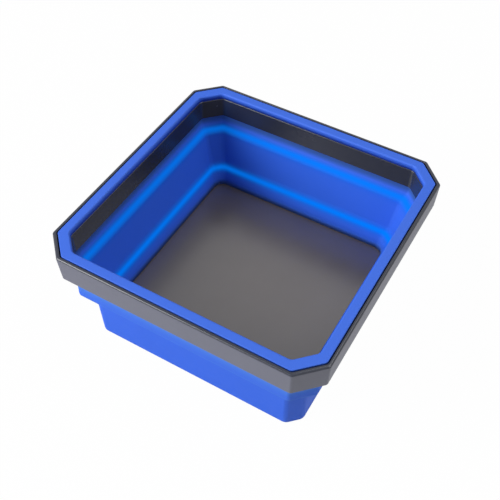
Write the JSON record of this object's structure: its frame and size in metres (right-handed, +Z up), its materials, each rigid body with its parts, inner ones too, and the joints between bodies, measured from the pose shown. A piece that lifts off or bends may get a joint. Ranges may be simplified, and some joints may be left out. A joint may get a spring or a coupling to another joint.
{
  "type": "collapsible magnetic parts tray",
  "caption": "Square tray with cut corners, a stiff rim, a soft wall that folds down and a magnet base that holds small steel parts.",
  "frame": {"origin": "middle of the underside, on the surface that the tray stands on", "axes": "+Z up out of the tray's mouth, X and Y square to the straight sides"},
  "size_m": [0.11, 0.11, 0.0512],
  "materials": {
    "rim_black": "satin moulded",
    "soft_blue": "matte silicone",
    "floor_grey": "fine matte grain",
    "base_black": "moulded",
    "ferrite": "ground ceramic",
    "screw_steel": "zinc plated",
    "pad_rubber": "matte"
  },
  "bodies": {
    "base": {"base_cup": "soft_blue", "fold_wall": "soft_blue", "floor_plate": "floor_grey", "base_plate": "base_black", "magnet_1": "ferrite", "magnet_2": "ferrite", "magnet_3": "ferrite", "magnet_4": "ferrite", "base_screws": "screw_steel", "base_pad": "pad_rubber"},
    "rim": {"rim_frame": "rim_black", "rim_lip": "soft_blue", "wall_collar": "soft_blue"}
  },
  "joints": [
    {"name": "rim_collapse", "type": "slide", "parent": "base", "child": "rim", "axis": [0, 0, -1], "range_m": [0, 0.0265], "deforming": ["fold_wall"]}
  ]
}
